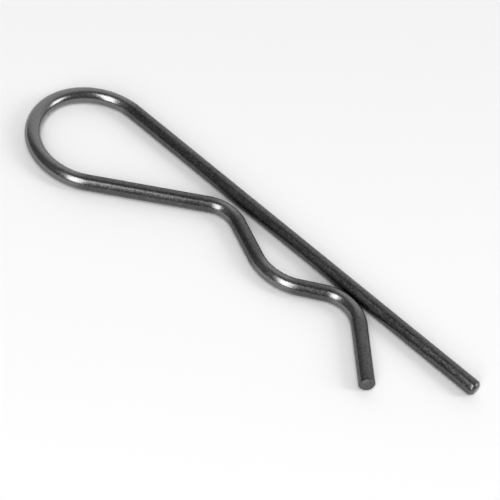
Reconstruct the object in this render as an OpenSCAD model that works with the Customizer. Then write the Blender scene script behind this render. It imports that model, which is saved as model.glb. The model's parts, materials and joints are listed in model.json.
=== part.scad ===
// Spring clip for a hitch pin: one round wire bent flat into an R.
// The straight leg goes through the cross hole of the hitch pin, and the hump snaps over its outside.
// The origin is where the axis of the hitch pin crosses the axis of the straight leg.
// X runs along the straight leg to its free end, and Z is square to the flat of the clip.

/* [Wire] */
// Diameter of the spring wire
wire_d = 4; // [3:0.1:5]
// How much thinner the wire is where it is bent, on its diameter
bend_thinning = 0.06; // [0.04:0.01:0.2]
// Chamfer on the two cut ends
end_chamfer = 0.7; // [0.2:0.1:1.2]

/* [Straight leg] */
// Length of the straight leg, from the head loop to its cut end
leg_length = 111; // [95:1:140]

/* [Head loop] */
// Inside diameter of the head loop
loop_inside_d = 26; // [22:0.5:34]
// Angle at which the spring leg runs in from the head loop to the neck
closing_angle = 39; // [34:1:46]

/* [Neck] */
// Inside radius of the neck bend
neck_inside_r = 6.5; // [4:0.5:9]
// Clear gap between the neck bend and the straight leg
neck_gap = 2; // [1:0.1:3]

/* [Hump] */
// Diameter of the hitch pin that the hump snaps over
hitch_pin_d = 20; // [18:0.5:25]
// Radial room between the hitch pin and the inside of the hump
pin_clearance = 0.5; // [0.2:0.1:1.5]
// Angle at which the wire drops from the neck to the hump
drop_angle = 25; // [20:1:32]
// Angle at which the wire climbs from the hump back to the straight leg
return_angle = 36; // [28:1:40]

/* [Flared tip] */
// Inside radius of the bend that closes on the straight leg
nose_inside_r = 7; // [4:0.5:8]
// Clear gap between that bend and the straight leg at rest
closing_gap = 0.6; // [0.2:0.1:1.2]
// Angle at which the tip flares away from the straight leg
flare_angle = 45; // [30:1:60]
// Length of the straight tip, from its bend to its cut end
tip_length = 18; // [10:0.5:25]

/* [Hidden] */
$fn = 96;

// Radius of the wire in a straight and in a bend
wire_r = wire_d / 2;
bent_wire_r = (wire_d - bend_thinning) / 2;

// How far the thinner wire of a bend reaches into the straights beside it
bend_root = 0.2;

// Bend radii to the centre of the wire; the hump is concentric with the hitch pin
loop_r = loop_inside_d / 2 + bent_wire_r;
neck_r = neck_inside_r + bent_wire_r;
hump_r = hitch_pin_d / 2 + pin_clearance + bent_wire_r;
nose_r = nose_inside_r + bent_wire_r;

// Depths of the spring leg below the straight leg, from centre to centre of the wire
loop_end_depth = loop_r * (1 + cos(closing_angle));
neck_depth = wire_r + neck_gap + bent_wire_r;
hump_depth = hump_r;
nose_depth = wire_r + closing_gap + bent_wire_r;

// What a bend climbs or drops between its level point and the end at which it leans by an angle
function bend_rise(bend_r, angle) = bend_r * (1 - cos(angle));

// Straight stretches between the bends, as long as the depths and angles need
run_in_length = (loop_end_depth - neck_depth - bend_rise(neck_r, closing_angle)) / sin(closing_angle);
drop_length = (hump_depth - neck_depth - bend_rise(neck_r + hump_r, drop_angle)) / sin(drop_angle);
return_length = (hump_depth - nose_depth - bend_rise(hump_r + nose_r, return_angle)) / sin(return_angle);

// Distance along the straight leg from the head loop to the middle of the hump
hump_from_loop = loop_r * sin(closing_angle)
    + run_in_length * cos(closing_angle)
    + neck_r * (sin(closing_angle) + sin(drop_angle))
    + drop_length * cos(drop_angle)
    + hump_r * sin(drop_angle);

// The wire as it is fed and bent, after the straight leg.
// Each row is a bend radius, a bend angle (positive to the left) and the straight that follows.
BENDS = [
    [loop_r, 180 + closing_angle, run_in_length],
    [neck_r, -(closing_angle + drop_angle), drop_length],
    [hump_r, drop_angle + return_angle, return_length],
    [nose_r, -(return_angle + flare_angle), tip_length],
];

// Straight wire along +X from the origin
module straight(length) {
    rotate([0, 90, 0])
        cylinder(d = wire_d, h = length);
}

// Straight wire along +X whose far end is a chamfered cut
module straight_to_cut(length) {
    profile = [
        [0, 0],
        [wire_r, 0],
        [wire_r, length - end_chamfer],
        [wire_r - end_chamfer, length],
        [0, length],
    ];
    rotate([0, 90, 0])
        rotate_extrude()
            polygon(profile);
}

// Bend to the left that starts along +X at the origin, with its roots in the straights
module left_bend(bend_r, angle) {
    root_angle = bend_root / bend_r * 180 / PI;
    translate([0, bend_r, 0])
        rotate([0, 0, -90 - root_angle])
            rotate_extrude(angle = angle + 2 * root_angle)
                translate([bend_r, 0])
                    circle(r = bent_wire_r);
}

// Bend to either side
module bend(bend_r, angle) {
    if (angle > 0)
        left_bend(bend_r, angle);
    else
        mirror([0, 1, 0])
            left_bend(bend_r, -angle);
}

// Puts its children where a bend ends, with +X along the wire
module after_bend(bend_r, angle) {
    centre_y = sign(angle) * bend_r;
    translate([0, centre_y, 0])
        rotate([0, 0, angle])
            translate([0, -centre_y, 0])
                children();
}

// The bends from one of the list on to the tip, each followed by its straight
module wire_run(index) {
    bend_r = BENDS[index][0];
    angle = BENDS[index][1];
    length = BENDS[index][2];
    bend(bend_r, angle);
    after_bend(bend_r, angle) {
        if (index == len(BENDS) - 1) {
            straight_to_cut(length);
        } else {
            straight(length);
            translate([length, 0, 0])
                wire_run(index + 1);
        }
    }
}

// The whole clip: the straight leg, and from its other end the head loop and the spring leg
module spring_wire() {
    color([0.30, 0.30, 0.31])
        translate([-hump_from_loop, 0, 0]) {
            straight_to_cut(leg_length);
            rotate([0, 0, 180])
                wire_run(0);
        }
}

spring_wire();
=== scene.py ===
import json
import math
from collections import namedtuple

import bpy
from mathutils import Matrix, Vector


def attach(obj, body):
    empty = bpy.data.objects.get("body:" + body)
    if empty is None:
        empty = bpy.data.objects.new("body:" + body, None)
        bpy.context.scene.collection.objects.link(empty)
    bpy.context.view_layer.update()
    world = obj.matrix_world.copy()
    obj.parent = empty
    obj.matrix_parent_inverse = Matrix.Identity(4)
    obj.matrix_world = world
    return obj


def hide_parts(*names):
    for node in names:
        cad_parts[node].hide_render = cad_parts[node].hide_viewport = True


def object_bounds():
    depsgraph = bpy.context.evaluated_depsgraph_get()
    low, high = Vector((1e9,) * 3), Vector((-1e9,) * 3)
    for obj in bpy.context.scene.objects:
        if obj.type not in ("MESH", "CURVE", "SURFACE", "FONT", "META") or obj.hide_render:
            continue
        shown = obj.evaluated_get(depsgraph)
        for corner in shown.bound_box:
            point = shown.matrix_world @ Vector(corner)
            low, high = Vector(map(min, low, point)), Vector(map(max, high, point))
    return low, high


# Hitch pin clip: one drawn spring wire bent flat into an R, lying on a white floor.
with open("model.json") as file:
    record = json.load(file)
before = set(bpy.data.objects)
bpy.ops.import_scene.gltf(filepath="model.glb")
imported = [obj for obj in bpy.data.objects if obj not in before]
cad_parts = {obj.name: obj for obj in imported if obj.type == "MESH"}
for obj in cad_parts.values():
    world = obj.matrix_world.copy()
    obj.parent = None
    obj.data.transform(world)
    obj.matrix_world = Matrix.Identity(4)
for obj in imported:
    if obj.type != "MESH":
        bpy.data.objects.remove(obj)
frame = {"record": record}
cad_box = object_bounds()

# Sizes of the clip in millimetres and degrees, as the solid has them
MM = 0.001
WIRE_R = frame["record"]["mounts"][0]["dims"]["r_mm"]
BEND_THINNING = 0.03
BENT_WIRE_R = WIRE_R - BEND_THINNING
END_CHAMFER = 0.7
LEG_LENGTH = 111
LOOP_INSIDE_R = 13
CLOSING_ANGLE = 39
NECK_INSIDE_R = 6.5
NECK_GAP = 2
HUMP_INSIDE_R = 10.5
DROP_ANGLE = 25
RETURN_ANGLE = 36
NOSE_INSIDE_R = 7
CLOSING_GAP = 0.6
FLARE_ANGLE = 45
TIP_LENGTH = 18

# How finely the wire is swept, and over what length a bend fades in
SIDES = 64
STEP = 0.4
BEND_FADE = 4

# Rounding of the edges of a cut end, and the inner rings of its face as shares of the face's radius
EDGE_ROUND = 0.12
FACE_RINGS = (0.35, 0.7)

# How much rougher than the wire the two cut ends are
LEG_CUT_DULLNESS = 0.05
TIP_CUT_DULLNESS = 0.4

# One ring of the wire: its place, its size, and how bent, cut and dull the wire is there
Ring = namedtuple("Ring", "centre heading along radius bent cut dullness")


# The route of the wire

def bend_rise(bend_r, angle):
    """What a bend climbs between its level point and the end at which it leans by an angle."""
    return bend_r * (1 - math.cos(math.radians(angle)))


def slant(depth, angle):
    """Length of a straight that leans by an angle and covers a depth."""
    return depth / math.sin(math.radians(angle))


def wire_route():
    """The wire from the cut end of the straight leg to the tip.

    A straight is its length and 0, and a bend is its radius and its angle, positive to the left.
    """
    loop_r = LOOP_INSIDE_R + BENT_WIRE_R
    neck_r = NECK_INSIDE_R + BENT_WIRE_R
    hump_r = HUMP_INSIDE_R + BENT_WIRE_R
    nose_r = NOSE_INSIDE_R + BENT_WIRE_R
    loop_depth = 2 * loop_r - bend_rise(loop_r, CLOSING_ANGLE)
    neck_depth = WIRE_R + NECK_GAP + BENT_WIRE_R
    nose_depth = WIRE_R + CLOSING_GAP + BENT_WIRE_R
    run_in = slant(loop_depth - neck_depth - bend_rise(neck_r, CLOSING_ANGLE), CLOSING_ANGLE)
    drop = slant(hump_r - neck_depth - bend_rise(neck_r + hump_r, DROP_ANGLE), DROP_ANGLE)
    climb = slant(hump_r - nose_depth - bend_rise(hump_r + nose_r, RETURN_ANGLE), RETURN_ANGLE)
    return [
        (LEG_LENGTH, 0),
        (loop_r, 180 + CLOSING_ANGLE),
        (run_in, 0),
        (neck_r, -(CLOSING_ANGLE + DROP_ANGLE)),
        (drop, 0),
        (hump_r, DROP_ANGLE + RETURN_ANGLE),
        (climb, 0),
        (nose_r, -(RETURN_ANGLE + FLARE_ANGLE)),
        (TIP_LENGTH, 0),
    ]


def ahead(heading):
    """Unit step in the flat of the clip along a heading in radians."""
    return Vector((math.cos(heading), math.sin(heading)))


def smooth(value):
    """Eases from 0 to 1."""
    value = min(max(value, 0), 1)
    return value * value * (3 - 2 * value)


def stations():
    """Points along the middle of the wire: place, heading, distance along it and bent share, 0 to 1."""
    found = []
    # The wire starts at the cut end of the straight leg, the far end of the solid in X, and runs to -X.
    place = Vector((cad_box[1][0] / MM, 0))
    heading = math.pi
    along = 0
    for size, degrees in wire_route():
        turn = math.radians(degrees)
        length = size * abs(turn) if degrees else size
        count = math.ceil(length / STEP)
        for index in range(1 if found else 0, count + 1):
            share = index / count
            if degrees:
                to_centre = math.copysign(size, turn) * ahead(heading + math.pi / 2)
                point = place + to_centre - Matrix.Rotation(turn * share, 2) @ to_centre
            else:
                point = place + size * share * ahead(heading)
            from_edge = min(share, 1 - share) * length
            bent = smooth(from_edge / BEND_FADE) if degrees else 0
            found.append((point, heading + turn * share, along + length * share, bent))
        place = found[-1][0]
        heading += turn
        along += length
    return found


# The wire itself

def eased_corner(corner, before, after):
    """Three points that round a corner of a profile, from the side before it to the side after it."""
    start = corner + EDGE_ROUND * before
    end = corner + EDGE_ROUND * after
    middle = (start + 2 * corner + end) / 4
    return [start, middle, end]


def cut_profile():
    """A cut end from its face to the full wire, as distances from the face and radii."""
    face_edge = Vector((0, WIRE_R - END_CHAMFER))
    wire_edge = Vector((END_CHAMFER, WIRE_R))
    to_middle = Vector((0, -1))
    slope = Vector((1, 1))
    along_wire = Vector((1, 0))
    face = [share * face_edge for share in FACE_RINGS]
    return face + eased_corner(face_edge, to_middle, slope) + eased_corner(wire_edge, -slope, along_wire)


def end_rings(point, heading, along, inwards, dullness):
    """Rings of a cut end from its face; inwards is 1 if the wire runs on ahead of it, or -1."""
    rings = []
    for distance, radius in cut_profile():
        step = inwards * distance
        centre = point + step * ahead(heading)
        cut = 1.0 if distance < END_CHAMFER - EDGE_ROUND / 2 else 0.0
        rings.append(Ring(centre, heading, along + step, radius, 0.0, cut, cut * dullness))
    return rings


def wire_rings():
    """Every ring of the wire, from the cut end of the straight leg to that of the tip."""
    path = stations()
    leg_end = path[0][:3]
    tip_end = path[-1][:3]
    wire_length = tip_end[2]
    end_length = END_CHAMFER + EDGE_ROUND + STEP
    rings = end_rings(*leg_end, 1, LEG_CUT_DULLNESS)
    for point, heading, along, bent in path:
        if end_length < along < wire_length - end_length:
            radius = WIRE_R + (BENT_WIRE_R - WIRE_R) * bent
            rings.append(Ring(point, heading, along, radius, bent, 0.0, 0.0))
    rings.extend(reversed(end_rings(*tip_end, -1, TIP_CUT_DULLNESS)))
    return rings


def sweep_wire():
    """The whole clip as one mesh, with the places on the wire kept as attributes for its material."""
    rings = wire_rings()
    points = []
    wire_places = []
    for ring in rings:
        side = ahead(ring.heading + math.pi / 2).to_3d()
        for index in range(SIDES):
            angle = 2 * math.pi * index / SIDES
            across = ring.radius * math.cos(angle)
            height = ring.radius * math.sin(angle)
            points.append((ring.centre.to_3d() + across * side + Vector((0, 0, height))) * MM)
            wire_places.extend((across, height, ring.along))
    faces = []
    for row in range(len(rings) - 1):
        near = row * SIDES
        far = near + SIDES
        for index in range(SIDES):
            after = (index + 1) % SIDES
            faces.append((near + index, near + after, far + after, far + index))
    last = (len(rings) - 1) * SIDES
    faces.append(tuple(reversed(range(SIDES))))
    faces.append(tuple(range(last, last + SIDES)))
    mesh = bpy.data.meshes.new("spring_wire_swept")
    mesh.from_pydata(points, [], faces)
    mesh.attributes.new("wire_place", "FLOAT_VECTOR", "POINT").data.foreach_set("vector", wire_places)
    for name in ("bent", "cut", "dullness"):
        values = [getattr(ring, name) for ring in rings for index in range(SIDES)]
        mesh.attributes.new(name, "FLOAT", "POINT").data.foreach_set("value", values)
    for polygon in mesh.polygons:
        polygon.use_smooth = True
    mesh.update()
    wire = bpy.data.objects.new("wire_swept", mesh)
    bpy.context.collection.objects.link(wire)
    return wire


# Materials

# Fineness of the noises on the wire, per millimetre: twice across it and once along it
DRAWN_LINES = (4, 4, 0.06)
GRAIN = (2.4, 2.4, 1.8)
CLOUDS = (0.6, 0.6, 0.1)
SHEAR_MARKS = (1.2, 6, 6)

# Octaves of the fine noises and of the coarse ones, and the range in which most of a noise lies
FINE_DETAIL = 4
COARSE_DETAIL = 3
NOISE_LOW = 0.3
NOISE_HIGH = 0.7

# Share of the light that the steel throws back, at its darkest and at its brightest
DARK_STEEL = 0.055
BRIGHT_STEEL = 0.22
DARK_CUT = 0.11
BRIGHT_CUT = 0.17

# How far each cause moves the wire from its darkest to its brightest
CLOUD_TONE = 0.12
GRAIN_TONE = 0.42
LINE_TONE = 0.1
# Painted highlight: the bends get brighter steel, partly as rubbed wear and partly so that the lamp
# highlights falling there come out brighter
BEND_WEAR_AND_HIGHLIGHT_TONE = 0.55

# Roughness of the wire from cloud to cloud, what the grain adds or takes, and what the bends lose
SMOOTH_STEEL = 0.22
ROUGH_STEEL = 0.29
GRAIN_ROUGHNESS = 0.05
BEND_POLISH = 0.04

# Depths of the relief, in metres
LINE_DEPTH = 0.000008
GRAIN_DEPTH = 0.000012
SHEAR_DEPTH = 0.00006

# The floor
FLOOR_WHITE = 0.94
FLOOR_ROUGHNESS = 0.9
FLOOR_SHINE = 0.1

# Places of the colours among the sockets of a mix node
MIX_COLOURS = slice(6, 8)
MIX_RESULT = 2


def grey(value):
    return (value, value, value, 1)


def new_material(name):
    """A node material and its main shader."""
    material = bpy.data.materials.new(name)
    material.use_nodes = True
    return material, material.node_tree.nodes["Principled BSDF"]


def attribute(tree, name, output):
    """What the mesh keeps under a name."""
    node = tree.nodes.new("ShaderNodeAttribute")
    node.attribute_name = name
    return node.outputs[output]


def noise(tree, place, fineness, detail):
    """Noise from 0 to 1 over the places on the wire."""
    scaled = tree.nodes.new("ShaderNodeVectorMath")
    scaled.operation = "MULTIPLY"
    scaled.inputs[1].default_value = fineness
    tree.links.new(place, scaled.inputs[0])
    node = tree.nodes.new("ShaderNodeTexNoise")
    node.inputs["Scale"].default_value = 1
    node.inputs["Detail"].default_value = detail
    tree.links.new(scaled.outputs[0], node.inputs["Vector"])
    return node.outputs[0]


def spread(tree, value, low, high, start=NOISE_LOW, end=NOISE_HIGH):
    """Maps a value from start..end to low..high."""
    node = tree.nodes.new("ShaderNodeMapRange")
    node.inputs["From Min"].default_value = start
    node.inputs["From Max"].default_value = end
    node.inputs["To Min"].default_value = low
    node.inputs["To Max"].default_value = high
    tree.links.new(value, node.inputs["Value"])
    return node.outputs["Result"]


def combine(tree, operation, values):
    """One value from several, by adding or multiplying them in turn."""
    result = values[0]
    for value in values[1:]:
        node = tree.nodes.new("ShaderNodeMath")
        node.operation = operation
        tree.links.new(result, node.inputs[0])
        tree.links.new(value, node.inputs[1])
        result = node.outputs[0]
    return result


def mix_colour(tree, share, first, second):
    """A colour between two, each given as a value or as an output."""
    node = tree.nodes.new("ShaderNodeMix")
    node.data_type = "RGBA"
    tree.links.new(share, node.inputs[0])
    for socket, colour in zip(node.inputs[MIX_COLOURS], (first, second)):
        if isinstance(colour, tuple):
            socket.default_value = colour
        else:
            tree.links.new(colour, socket)
    return node.outputs[MIX_RESULT]


def bump(tree, height, depth, under=None):
    """Surface relief of a height from 0 to 1, on top of the relief under it."""
    node = tree.nodes.new("ShaderNodeBump")
    node.inputs["Strength"].default_value = 1
    node.inputs["Distance"].default_value = depth
    tree.links.new(height, node.inputs["Height"])
    if under:
        tree.links.new(under, node.inputs["Normal"])
    return node.outputs[0]


def spring_steel():
    """Drawn spring steel: lines along the wire, fine grain, bends brighter as rubbed wear and as painted
    highlight, and bare cut ends.
    """
    material, shader = new_material("drawn_spring_steel")
    tree = material.node_tree
    place = attribute(tree, "wire_place", "Vector")
    bent = attribute(tree, "bent", "Fac")
    cut = attribute(tree, "cut", "Fac")
    lines = noise(tree, place, DRAWN_LINES, FINE_DETAIL)
    grain = noise(tree, place, GRAIN, FINE_DETAIL)
    clouds = noise(tree, place, CLOUDS, COARSE_DETAIL)
    shear_marks = noise(tree, place, SHEAR_MARKS, COARSE_DETAIL)

    tone = combine(tree, "ADD", [
        spread(tree, clouds, 0, CLOUD_TONE),
        spread(tree, grain, 0, GRAIN_TONE),
        spread(tree, lines, 0, LINE_TONE),
        # Brighter steel in the bends: partly rubbed wear, partly painted highlight that strengthens the
        # lamp highlights on the bends
        spread(tree, bent, 0, BEND_WEAR_AND_HIGHLIGHT_TONE, 0, 1),
    ])
    wire_colour = mix_colour(tree, tone, grey(DARK_STEEL), grey(BRIGHT_STEEL))
    cut_colour = mix_colour(tree, shear_marks, grey(DARK_CUT), grey(BRIGHT_CUT))
    tree.links.new(mix_colour(tree, cut, wire_colour, cut_colour), shader.inputs["Base Color"])
    shader.inputs["Metallic"].default_value = 1

    roughness = combine(tree, "ADD", [
        spread(tree, clouds, SMOOTH_STEEL, ROUGH_STEEL),
        spread(tree, grain, -GRAIN_ROUGHNESS, GRAIN_ROUGHNESS),
        spread(tree, bent, 0, -BEND_POLISH, 0, 1),
        attribute(tree, "dullness", "Fac"),
    ])
    tree.links.new(roughness, shader.inputs["Roughness"])

    relief = bump(tree, lines, LINE_DEPTH)
    relief = bump(tree, grain, GRAIN_DEPTH, relief)
    relief = bump(tree, combine(tree, "MULTIPLY", [shear_marks, cut]), SHEAR_DEPTH, relief)
    tree.links.new(relief, shader.inputs["Normal"])
    return material


def matt_white():
    """The floor's plain white."""
    material, shader = new_material("matt_white")
    shader.inputs["Base Color"].default_value = grey(FLOOR_WHITE)
    shader.inputs["Roughness"].default_value = FLOOR_ROUGHNESS
    shader.inputs["Specular IOR Level"].default_value = FLOOR_SHINE
    return material


# The stage

# Side of the floor, in metres
FLOOR_SIZE = 12


def floor():
    """A white floor under the clip."""
    half = FLOOR_SIZE / 2
    level = cad_box[0][2]
    corners = [(-half, -half, level), (half, -half, level), (half, half, level), (-half, half, level)]
    mesh = bpy.data.meshes.new("floor")
    mesh.from_pydata(corners, [], [(0, 1, 2, 3)])
    mesh.materials.append(matt_white())
    plane = bpy.data.objects.new("floor", mesh)
    bpy.context.collection.objects.link(plane)


# The camera: where it looks in the frame, from how far, and how it is turned, in millimetres and degrees
LOOK_AT = Vector((-7.73, -10.68, 0))
CAMERA_DISTANCE = 444
CAMERA_AZIMUTH = 27.35
CAMERA_ELEVATION = 47.31
CAMERA_ROLL = 18.64
LENS = 133.7
SENSOR = 36
NEAR_CLIP = 10


def camera():
    """The view of the photo."""
    data = bpy.data.cameras.new("camera")
    data.lens = LENS
    data.sensor_width = SENSOR
    data.clip_start = NEAR_CLIP * MM
    eye = bpy.data.objects.new("camera", data)
    turn = Matrix.Rotation(math.radians(CAMERA_AZIMUTH), 3, "Z")
    tilt = Matrix.Rotation(math.radians(90 - CAMERA_ELEVATION), 3, "X")
    roll = Matrix.Rotation(math.radians(CAMERA_ROLL), 3, "Z")
    stance = turn @ tilt @ roll
    eye.matrix_world = stance.to_4x4()
    eye.location = (LOOK_AT + CAMERA_DISTANCE * stance.col[2]) * MM
    bpy.context.collection.objects.link(eye)
    bpy.context.scene.camera = eye


# The light: lamps at a distance in metres, and a dim room with a bright wall behind the clip
LAMP_DISTANCE = 1.2
ROOM_LIGHT = 0.2
WALL_LIGHT = 0.9
WALL_AZIMUTH = 120
WALL_ELEVATION = 12
# Cosines of the angles from the middle of the wall at which its light ends and at which it is full
WALL_END = 0.35
WALL_FULL = 0.8


def towards(azimuth, elevation):
    """Direction from the clip, from angles in degrees."""
    turn = Matrix.Rotation(math.radians(azimuth), 3, "Z")
    tilt = Matrix.Rotation(math.radians(-elevation), 3, "Y")
    return turn @ tilt @ Vector((1, 0, 0))


def softbox(name, azimuth, elevation, width, height, power):
    """A lamp that faces the clip, with its sides in metres and its power in watts."""
    data = bpy.data.lights.new(name, "AREA")
    data.shape = "RECTANGLE"
    data.size = width
    data.size_y = height
    data.energy = power
    lamp = bpy.data.objects.new(name, data)
    direction = towards(azimuth, elevation)
    lamp.location = LOOK_AT * MM + LAMP_DISTANCE * direction
    lamp.rotation_euler = direction.to_track_quat("Z", "Y").to_euler()
    bpy.context.collection.objects.link(lamp)


def lamps():
    """A tall lamp in front, beside the camera, and a small one at the cut ends' side."""
    softbox("front_lamp", azimuth=-70, elevation=44, width=0.45, height=1.4, power=12.5)
    softbox("side_lamp", azimuth=38, elevation=30, width=0.42, height=0.7, power=5)


def room():
    """The light of the room from each direction."""
    world = bpy.data.worlds.new("room")
    bpy.context.scene.world = world
    world.use_nodes = True
    tree = world.node_tree
    background = tree.nodes["Background"]
    direction = tree.nodes.new("ShaderNodeTexCoord").outputs["Generated"]
    facing = tree.nodes.new("ShaderNodeVectorMath")
    facing.operation = "DOT_PRODUCT"
    facing.inputs[1].default_value = towards(WALL_AZIMUTH, WALL_ELEVATION)
    tree.links.new(direction, facing.inputs[0])
    wall = spread(tree, facing.outputs["Value"], 0, 1, WALL_END, WALL_FULL)
    light = mix_colour(tree, wall, grey(ROOM_LIGHT), grey(WALL_LIGHT))
    tree.links.new(light, background.inputs["Color"])
    background.inputs["Strength"].default_value = 1


wire = sweep_wire()
wire.data.materials.append(spring_steel())
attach(wire, "root")
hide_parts("spring_wire")
floor()
camera()
lamps()
room()
bpy.context.scene.view_settings.view_transform = "Standard"
